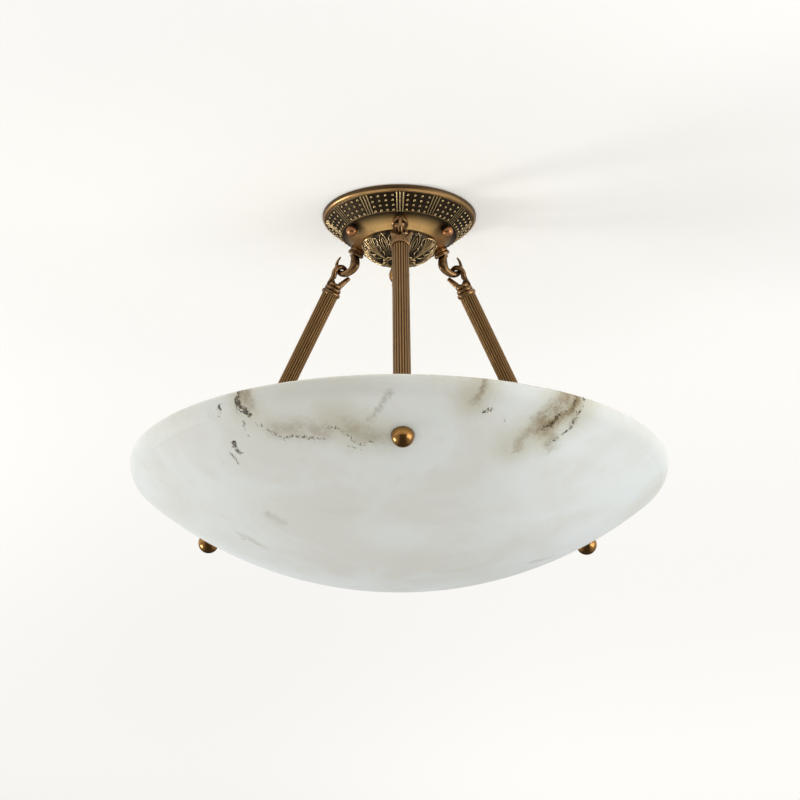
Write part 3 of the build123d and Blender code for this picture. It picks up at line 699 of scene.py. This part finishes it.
def band_inputs(*others):
    """Named inputs of a tree that follows the canopy's band."""
    inputs = [("Groups", WHOLE), ("Offset", VALUE), ("Columns", WHOLE), ("Spread", VALUE)]
    return inputs + [("Top", VECTOR), ("Foot", VECTOR), ("Material", MATERIAL), *others]


def bead_tree():
    """Panels of round beads on the canopy's band."""
    inputs = band_inputs(("Rows", WHOLE), ("Bead", VALUE))
    tree, wires, entry, leave = geometry_tree("beaded panels", inputs)
    azimuth, share, count = cone_points(wires, entry, entry["Columns"], entry["Rows"])
    spot = wires.between(share, entry["Top"], entry["Foot"])
    inputs = {"Vector": spot, "Angle": azimuth}
    turned = wires.node("ShaderNodeVectorRotate", inputs, rotation_type="Z_AXIS")
    points = wires.node("GeometryNodePoints", {"Count": count, "Position": turned.outputs[0]})
    bead = wires.node("GeometryNodeMeshUVSphere", {"Segments": 14, "Rings": 8, "Radius": entry["Bead"]})
    finish_tree(wires, entry, leave, points, bead.outputs["Mesh"])
    return tree


def rib_tree():
    """Groups of tapering ribs that run down the canopy's band."""
    tree, wires, entry, leave = geometry_tree("rib groups", band_inputs(("Rib", VALUE)))
    azimuth, _, count = cone_points(wires, entry, entry["Columns"], 1)
    run = wires.node("GeometryNodeCurvePrimitiveLine", {"Start": entry["Top"], "End": entry["Foot"]})
    fine = wires.node("GeometryNodeResampleCurve", {"Curve": run.outputs[0], "Count": 14})
    along = wires.node("GeometryNodeSplineParameter").outputs["Factor"]
    taper = wires.smooth(along, 0.0, 1.0, 1.0, RIB_TAPER)
    bar = round_bars(wires, fine.outputs[0], entry["Rib"], taper, sides=12)
    points = wires.node("GeometryNodePoints", {"Count": count})
    finish_tree(wires, entry, leave, points, bar, wires.joined(Z=azimuth))
    return tree


def on_band(share, lift):
    """A place on the front of the band, a share of the way down, lifted off the cone by some mm."""
    run = Vector((BAND_FOOT[0] - RIM_FOOT[0], BAND_FOOT[1] - RIM_FOOT[1]))
    off = Vector((-run.y, run.x)).normalized() * lift
    radius = RIM_FOOT[0] + run.x * share + off.x
    return (0.0, -radius * MM, (RIM_FOOT[1] + run.y * share + off.y) * MM)


class LIGHT_OT_canopy(bpy.types.Operator):
    """Brass of the canopy, with the beads and ribs of its band."""

    bl_idname = "ceiling_light.canopy"
    bl_label = "Canopy"

    def execute(self, context):
        settings = context.scene.ceiling_light
        sizes = settings.canopy
        wear(["canopy"], canopy_brass(settings.metal))
        gold = ornament_gold("ornament gold", settings.metal, band_relief, low=0.25, high=1.0)
        shared = {"Groups": sizes.panels, "Material": gold}
        # The panels stand half a step beside the ribs.
        top, foot = (on_band(share, BEAD_LIFT) for share in BEAD_RUN)
        values = {"Offset": 0.5, "Spread": BEAD_SPREAD, "Top": top, "Foot": foot}
        values |= {"Columns": sizes.columns, "Rows": sizes.rows, "Bead": sizes.bead}
        beads = grown("canopy_beads", bead_tree(), shared | values)
        top, foot = (on_band(share, RIB_LIFT) for share in RIB_RUN)
        values = {"Offset": 0.0, "Spread": RIB_SPREAD, "Top": top, "Foot": foot}
        values |= {"Columns": sizes.ribs, "Rib": sizes.rib}
        ribs = grown("canopy_ribs", rib_tree(), shared | values)
        for piece in (beads, ribs):
            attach(piece, "canopy")
        return {"FINISHED"}


# Leaf boss, in mm and degrees: a swell whose centre is given as (radius, height)
BOSS_CENTRE = (7.86, -17.10)
BOSS_SWELL = 30.67
BOSS_ANGLES = (-82.2, -27.8)
HALF_LEAF = 30.0


def boss_point(azimuth, share, lift):
    """A place on the boss: azimuth in degrees, share from its foot to its rim, lift off it in mm."""
    angle = radians(BOSS_ANGLES[0] + (BOSS_ANGLES[1] - BOSS_ANGLES[0]) * share)
    radius = BOSS_CENTRE[0] + (BOSS_SWELL + lift) * cos(angle)
    height = BOSS_CENTRE[1] + (BOSS_SWELL + lift) * sin(angle)
    return outward(azimuth) * radius * MM + mm(0.0, 0.0, height)


def boss_relief(wires, place):
    """How far a place stands out of the boss's swell, in mm."""
    radius, height = axis_distance(wires, place)
    across = wires.math("SUBTRACT", radius, BOSS_CENTRE[0])
    upwards = wires.math("SUBTRACT", height, BOSS_CENTRE[1])
    spot = wires.joined(X=across, Y=upwards)
    return wires.math("SUBTRACT", wires.vector("LENGTH", spot), BOSS_SWELL)


def bent_line(corners, steps=9):
    """Points of a smooth line that bends towards its middle corners."""
    points = []
    for step in range(steps + 1):
        share = step / steps
        level = [Vector(corner) for corner in corners]
        while len(level) > 1:
            level = [first.lerp(second, share) for first, second in zip(level, level[1:])]
        points.append(level[0])
    return points


def oval_lines(middle, foot, top, half_width):
    """Both edges of a pointed oval that stands on the boss."""
    rise = top - foot
    sides = []
    for bulge in (half_width, -half_width):
        low = (middle + bulge, foot + 0.3 * rise, 0.35, 0.5)
        high = (middle + bulge, foot + 0.75 * rise, 0.5, 0.48)
        sides.append(bent_line([(middle, foot, 0.1, 0.4), low, high, (middle, top, 0.9, 0.35)]))
    return sides


def leaf_lines():
    """Carved ridges of one leaf, its midrib at azimuth nought, as (azimuth, share, lift, thickness)."""
    half = []
    # Ribs that swing out from the midrib
    for rib in (1, 2, 3):
        foot = (1.9 * rib, 0.04 + 0.04 * rib, 0.1, 0.4)
        waist = (1.7 * rib, 0.45, 0.35, 0.46)
        swing = (3.4 * rib, 0.85, 0.5, 0.5)
        tip = (4.8 * rib, 1.04 - 0.03 * rib, 2.6 - 0.4 * rib, 0.5)
        half.append(bent_line([foot, waist, swing, tip], 12))
    # Bows of the leaf's edge
    for level in (0.34, 0.56, 0.76):
        start = (5.0 + 7.0 * level, level - 0.12, 0.3, 0.4)
        bow = (19.0, level - 0.10, 0.9, 0.6)
        turn = (22.0, level + 0.08, 1.1, 0.5)
        end = (16.0, level + 0.16, 0.8, 0.35)
        half.append(bent_line([start, bow, turn, end], 8))
    # Lobe of the calyx and the ring at its foot
    lobe = [(0.0, -0.03, 0.1, 0.8), (5.0, 0.16, 1.0, 0.9)]
    lobe += [(25.0, 0.16, 1.0, 0.9), (HALF_LEAF, -0.03, 0.1, 0.8)]
    half.append(bent_line(lobe, 8))
    half.append(bent_line([(0.0, -0.03, 0.0, 0.9), (HALF_LEAF, -0.03, 0.0, 0.9)], 5))
    lines = half + [[Vector((-spot[0], *spot[1:])) for spot in line] for line in half]
    # Midrib and rolled tip
    midrib = [(0.0, 0.02, 0.3, 0.6), (0.0, 0.5, 0.9, 0.7), (0.0, 0.9, 1.4, 0.8), (0.0, 1.02, 3.0, 0.7)]
    lines.append(bent_line(midrib, 12))
    roll = [(-14.0, 0.95, 0.8, 0.4), (-6.0, 1.0, 3.6, 1.2), (6.0, 1.0, 3.6, 1.2), (14.0, 0.95, 0.8, 0.4)]
    lines.append(bent_line(roll, 10))
    # Pointed ovals with three dots between two leaves
    lines += oval_lines(HALF_LEAF, 0.26, 1.02, 9.5)
    lines += oval_lines(HALF_LEAF, 0.36, 0.88, 4.0)
    for azimuth, share in ((25.5, 0.98), (34.5, 0.98), (HALF_LEAF, 1.02)):
        dot = [(azimuth, share - 0.01, 0.5, 0.75), (azimuth, share + 0.02, 0.5, 0.75)]
        lines.append(bent_line(dot, 1))
    return lines


def leaf_source():
    """Edges along one leaf's ridges, with their thickness."""
    places, edges, thickness = [], [], []
    for line in leaf_lines():
        first = len(places)
        for azimuth, share, lift, radius in line:
            places.append(boss_point(azimuth, share, lift))
            thickness.append(radius * MM)
        edges += [(spot, spot + 1) for spot in range(first, len(places) - 1)]
    mesh = bpy.data.meshes.new("leaf ridges")
    mesh.from_pydata(places, edges, [])
    mesh.attributes.new("thickness", "FLOAT", "POINT").data.foreach_set("value", thickness)
    return bpy.data.objects.new("leaf ridges", mesh)


def leaf_tree():
    """Turns one leaf's ridges into round bars and repeats the leaf round the axis."""
    inputs = [("Leaves", WHOLE), ("Ridge", VALUE), ("Material", MATERIAL)]
    tree, wires, entry, leave = geometry_tree("leaf ring", inputs)
    lines = wires.node("GeometryNodeMeshToCurve", {"Mesh": entry["Geometry"]}).outputs["Curve"]
    stored = wires.node("GeometryNodeInputNamedAttribute", {"Name": "thickness"}, data_type="FLOAT")
    radius = wires.times(stored.outputs["Attribute"], entry["Ridge"])
    bars = round_bars(wires, lines, 1.0, radius, sides=8)
    points = wires.node("GeometryNodePoints", {"Count": entry["Leaves"]})
    index = wires.node("GeometryNodeInputIndex").outputs[0]
    turn = wires.times(index, wires.math("DIVIDE", 2 * pi, entry["Leaves"]))
    finish_tree(wires, entry, leave, points, bars, wires.joined(Z=turn))
    return tree


class LIGHT_OT_leaf_boss(bpy.types.Operator):
    """Acanthus leaves round the boss."""

    bl_idname = "ceiling_light.leaf_boss"
    bl_label = "Leaf boss"

    def execute(self, context):
        settings = context.scene.ceiling_light
        colours = settings.metal
        wear(["leaf_boss"], metal("boss ground", colours.ground, colours.patina, drift=0.8, gloss=0.36))
        gold = ornament_gold("leaf gold", colours, boss_relief, low=0.3, high=1.0)
        values = {"Leaves": settings.boss.leaves, "Ridge": settings.boss.ridge, "Material": gold}
        leaves = grown("boss_leaves", leaf_tree(), values, leaf_source())
        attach(leaves, "canopy")
        return {"FINISHED"}


# Rods and hooks, in mm: a point of the rods' axes as radius and height, and their reeds from groove to top
ROD_TOP_RADIUS = 62.3
ROD_TOP = -40.7
ROD_TILT = radians(30)
REED_RADII = (7.45, 8.1)
# Streaks to a metre, across the rod and along it
STREAKS_ACROSS = 1500.0
STREAKS_ALONG = 25.0


def reeded_bronze(side, colours):
    """Brown bronze on a reeded rod, rubbed light on the reeds and dark between them."""
    material, wires, shader = new_material("reeded bronze " + side)
    away = outward(ROD_SIDES[side])
    axis = tuple(away * sin(ROD_TILT) + Vector((0.0, 0.0, -cos(ROD_TILT))))
    head = (away * ROD_TOP_RADIUS + Vector((0.0, 0.0, ROD_TOP))) * MM
    reach = wires.vector("SUBTRACT", wires.place(), tuple(head))
    along = wires.vector("DOT_PRODUCT", reach, axis)
    beside = wires.vector("SUBTRACT", reach, wires.scaled(axis, along))
    radius = wires.times(wires.vector("LENGTH", beside), PER_METRE)
    groove = wires.smooth(radius, *REED_RADII, 1.0, 0.0)
    # Streaks that are drawn out along the rod
    lengthways = wires.scaled(axis, wires.times(along, STREAKS_ALONG))
    drawn = wires.vector("ADD", wires.scaled(beside, STREAKS_ACROSS), lengthways)
    streaks = wires.noise(drawn, 1.0, roughness=0.6)
    streaked = wires.line(streaks, 0.5, 0.75)
    reed, patina = rgba(colours.reed), rgba(colours.patina)
    patinated(wires, shader, reed, patina, drift=0.3, gloss=0.32, dark_share=groove, tint=streaked)
    bumped(wires, shader, streaks, strength=0.1, distance=0.2 * MM)
    return material


class LIGHT_OT_rods(bpy.types.Operator):
    """Bronze of the reeded rods, their heads and the hooks."""

    bl_idname = "ceiling_light.rods"
    bl_label = "Rods and hooks"

    def execute(self, context):
        colours = context.scene.ceiling_light.metal
        for side in ROD_SIDES:
            wear([f"reeded_rod_{side}"], reeded_bronze(side, colours))
        cast = metal("cast bronze", colours.bronze, colours.patina, drift=0.75, gloss=0.17, reach=6.0 * MM)
        wear([f"{piece}_{side}" for piece in ("canopy_hook", "rod_head") for side in ROD_SIDES], cast)
        wear(["foot_washers", "stem_tube", "lamp_hub", "hub_cap"], cast)
        return {"FINISHED"}


# Fixings and lamps: plain colours
ZINC = (0.55, 0.56, 0.56)
RUBBER = (0.03, 0.03, 0.03)
TERMINAL_PLASTIC = (0.78, 0.76, 0.70)
HOLDER_PLASTIC = (0.74, 0.72, 0.66)
LAMP_METAL = (0.72, 0.72, 0.70)
FROSTED_GLASS = (0.90, 0.89, 0.86)


class LIGHT_OT_fixings(bpy.types.Operator):
    """Ball nuts, canopy screws, the turned ball and the hidden fixings."""

    bl_idname = "ceiling_light.fixings"
    bl_label = "Nuts and screws"

    def execute(self, context):
        colours = context.scene.ceiling_light.metal
        bright = metal("polished bronze", colours.polish, colours.patina, drift=0.2, gloss=0.16, bump=0.04)
        wear([f"ball_nut_{side}" for side in ROD_SIDES], bright)
        copper = metal("satin copper", colours.copper, colours.patina, drift=0.45, gloss=0.3, bump=0.08)
        wear([f"canopy_screw_{side}" for side in SCREW_SIDES], copper)
        wear(["turned_ball"], bright)
        wear(["screw_collars"], metal("black bronze", colours.collar, colours.patina, gloss=0.3))
        zinc = plain("zinc plate", ZINC, 0.35, metallic=1.0)
        wear(["mounting_bracket", "clamp_disc", "stem_nut", "hook_nuts", "bowl_studs"], zinc)
        wear(["inner_gaskets", "outer_gaskets"], plain("gasket rubber", RUBBER, 0.7))
        wear(["terminal_block"], plain("terminal plastic", TERMINAL_PLASTIC, 0.45))
        return {"FINISHED"}


class LIGHT_OT_lamps(bpy.types.Operator):
    """Lamp holders and lamps."""

    bl_idname = "ceiling_light.lamps"
    bl_label = "Lamps"

    def execute(self, context):
        finishes = {
            "holder": plain("holder plastic", HOLDER_PLASTIC, 0.5),
            "cap": plain("lamp cap", LAMP_METAL, 0.3, metallic=1.0),
            "globe": plain("frosted glass", FROSTED_GLASS, 0.35, grain=60.0),
        }
        for piece, finish in finishes.items():
            wear([f"lamp_{piece}_{side}" for side in LAMP_SIDES], finish)
        return {"FINISHED"}


# Stage, in metres: the ceiling's glow as (from, to, first level, last level)
CEILING_REACH = 12.0
CEILING_HEIGHT = 0.6 * MM
GLOW_CENTRE = (-0.08, 0.0, 0.0)
NEAR_GLOW = (0.05, 0.42, 0.115, 0.0)
FAR_GLOW = (0.8, 2.9, 0.05, 0.215)
SIDE_GLOW = (-0.4, 0.4, -0.045, 0.03)
# What the ceiling gives to the pieces, and what its paint reflects to the camera and to them
ROOM_GLOW = 0.8
SHOWN_PAINT = 0.9
ROOM_PAINT = 0.5
# Walls of the studio below and beside the light, and as the metal mirrors them
BELOW = 0.98
BESIDE = 0.38
MIRRORED_AHEAD = (0.09, 0.087, 0.083)
MIRRORED_ASIDE = (0.6, 0.59, 0.58)
# Softboxes: place, size, and the right one's power against the left one's
LEFT_PLACE = (-2.1, 0.45, -1.1)
LEFT_SIZE = (0.6, 0.6)
RIGHT_PLACE = (2.4, -1.0, -0.75)
RIGHT_SIZE = (2.4, 1.3)
RIGHT_POWER = 1.42
LAMP_TARGET = (0.0, 0.0, -0.2)
CAMERA_PLACE = mm(-31.0, -2217.3, -998.2)
CAMERA_TURN = (radians(90 + 20.05), 0.0, radians(-0.801))


def ceiling_paint(colour):
    """Pale ceiling that keeps the shadow, shows the background colour, and is clear from above."""
    material = bpy.data.materials.new("ceiling paint")
    material.use_nodes = True
    tree = material.node_tree
    tree.nodes.clear()
    wires = Wires(tree)
    path = wires.node("ShaderNodeLightPath").outputs
    seen = wires.math("MAXIMUM", path["Is Camera Ray"], path["Is Glossy Ray"])
    seen = wires.math("MAXIMUM", seen, path["Is Transmission Ray"])
    # The paint glows more where less light falls, so that the background is even.
    place = wires.place()
    apart = wires.vector("DISTANCE", place, GLOW_CENTRE)
    level = wires.math("ADD", wires.smooth(apart, *NEAR_GLOW), wires.smooth(apart, *FAR_GLOW))
    level = wires.math("ADD", level, wires.smooth(wires.parts(place)["X"], *SIDE_GLOW))
    glow = wires.node("ShaderNodeEmission", {"Color": rgba(colour), "Strength": level})
    catch = wires.node("ShaderNodeBsdfDiffuse", {"Color": rgba(Vector(colour) * SHOWN_PAINT)})
    shown = wires.node("ShaderNodeAddShader", {0: glow.outputs[0], 1: catch.outputs[0]})
    # The pieces see an even ceiling.
    fill = wires.node("ShaderNodeEmission", {"Color": rgba(colour), "Strength": ROOM_GLOW})
    paint = wires.node("ShaderNodeBsdfDiffuse", {"Color": rgba(Vector(colour) * ROOM_PAINT)})
    room = wires.node("ShaderNodeAddShader", {0: fill.outputs[0], 1: paint.outputs[0]})
    lit = wires.node("ShaderNodeMixShader", {0: seen, 1: room.outputs[0], 2: shown.outputs[0]})
    behind = wires.node("ShaderNodeNewGeometry").outputs["Backfacing"]
    clear = wires.node("ShaderNodeBsdfTransparent")
    seen_below = wires.node("ShaderNodeMixShader", {0: behind, 1: lit.outputs[0], 2: clear.outputs[0]})
    output = wires.node("ShaderNodeOutputMaterial")
    wires.put(output.inputs["Surface"], seen_below.outputs[0])
    return material


def hang_ceiling(scene, colour):
    """A wide ceiling just above the light."""
    mesh = bpy.data.meshes.new("ceiling")
    signs = ((-1, -1), (-1, 1), (1, 1), (1, -1))
    corners = [(x * CEILING_REACH, y * CEILING_REACH, CEILING_HEIGHT) for x, y in signs]
    mesh.from_pydata(corners, [], [(0, 1, 2, 3)])
    mesh.materials.append(ceiling_paint(colour))
    ceiling = bpy.data.objects.new("ceiling", mesh)
    scene.collection.objects.link(ceiling)


def light_room(scene, colour):
    """Light from below for the pieces, darker walls that they mirror, the background for the camera."""
    world = bpy.data.worlds.new("studio")
    world.use_nodes = True
    scene.world = world
    wires = Wires(world.node_tree)
    path = wires.node("ShaderNodeLightPath").outputs
    direction = wires.node("ShaderNodeTexCoord").outputs["Generated"]
    way = wires.parts(direction)
    room = wires.smooth(way["Z"], -0.9, 0.0, BELOW, BESIDE)
    aside = wires.smooth(wires.math("ABSOLUTE", way["X"]), 0.35, 0.85)
    mirrored = wires.mix(aside, rgba(MIRRORED_AHEAD), rgba(MIRRORED_ASIDE))
    lit = wires.mix(path["Is Glossy Ray"], room, mirrored)
    sky = world.node_tree.nodes["Background"]
    wires.put(sky.inputs["Color"], wires.mix(path["Is Camera Ray"], lit, rgba(colour)))


def softbox(scene, name, place, size, power):
    """A soft area lamp turned towards the light."""
    lamp = bpy.data.lights.new(name, "AREA")
    lamp.shape = "RECTANGLE"
    lamp.size, lamp.size_y = size
    lamp.energy = power
    holder = bpy.data.objects.new(name, lamp)
    holder.location = place
    holder.rotation_euler = (Vector(LAMP_TARGET) - Vector(place)).to_track_quat("-Z", "Y").to_euler()
    scene.collection.objects.link(holder)


def aim_camera(scene):
    """The camera of the photograph."""
    view = bpy.data.cameras.new("photo camera")
    view.lens = 112.67
    view.sensor_width = 36.0
    view.shift_x = 0.0009
    view.clip_end = 60.0
    camera = bpy.data.objects.new("photo camera", view)
    camera.location = CAMERA_PLACE
    camera.rotation_euler = CAMERA_TURN
    scene.collection.objects.link(camera)
    scene.camera = camera


class LIGHT_OT_stage(bpy.types.Operator):
    """Ceiling, world, softboxes and camera."""

    bl_idname = "ceiling_light.stage"
    bl_label = "Stage"

    def execute(self, context):
        scene = context.scene
        settings = scene.ceiling_light.stage
        hang_ceiling(scene, settings.background)
        light_room(scene, settings.background)
        softbox(scene, "softbox left", LEFT_PLACE, LEFT_SIZE, settings.softbox)
        softbox(scene, "softbox right", RIGHT_PLACE, RIGHT_SIZE, settings.softbox * RIGHT_POWER)
        aim_camera(scene)
        scene.view_settings.view_transform = "Standard"
        return {"FINISHED"}


OPERATORS = (
    LIGHT_OT_stone_bowl,
    LIGHT_OT_canopy,
    LIGHT_OT_leaf_boss,
    LIGHT_OT_rods,
    LIGHT_OT_fixings,
    LIGHT_OT_lamps,
    LIGHT_OT_stage,
)


class LIGHT_PT_sidebar(bpy.types.Panel):
    """Settings and steps of the ceiling light."""

    bl_label = "Ceiling light"
    bl_idname = "LIGHT_PT_sidebar"
    bl_space_type = "VIEW_3D"
    bl_region_type = "UI"
    bl_category = "Ceiling light"

    def draw(self, context):
        settings = context.scene.ceiling_light
        for group in (settings.stone, settings.metal, settings.canopy, settings.boss, settings.stage):
            column = self.layout.box().column()
            for name in group.__annotations__:
                column.prop(group, name)
        for step in OPERATORS:
            self.layout.operator(step.bl_idname)


CLASSES = (
    StoneSettings,
    MetalSettings,
    CanopySettings,
    BossSettings,
    StageSettings,
    LightSettings,
    *OPERATORS,
    LIGHT_PT_sidebar,
)


def register():
    """Adds the classes and the scene's settings."""
    for kind in CLASSES:
        bpy.utils.register_class(kind)
    bpy.types.Scene.ceiling_light = bpy.props.PointerProperty(type=LightSettings)


def unregister():
    """Takes the settings and the classes away."""
    del bpy.types.Scene.ceiling_light
    for kind in reversed(CLASSES):
        bpy.utils.unregister_class(kind)


def main():
    """Builds every piece."""
    register()
    for step in OPERATORS:
        category, name = step.bl_idname.split(".")
        getattr(getattr(bpy.ops, category), name)()


if __name__ == "__main__":
    main()
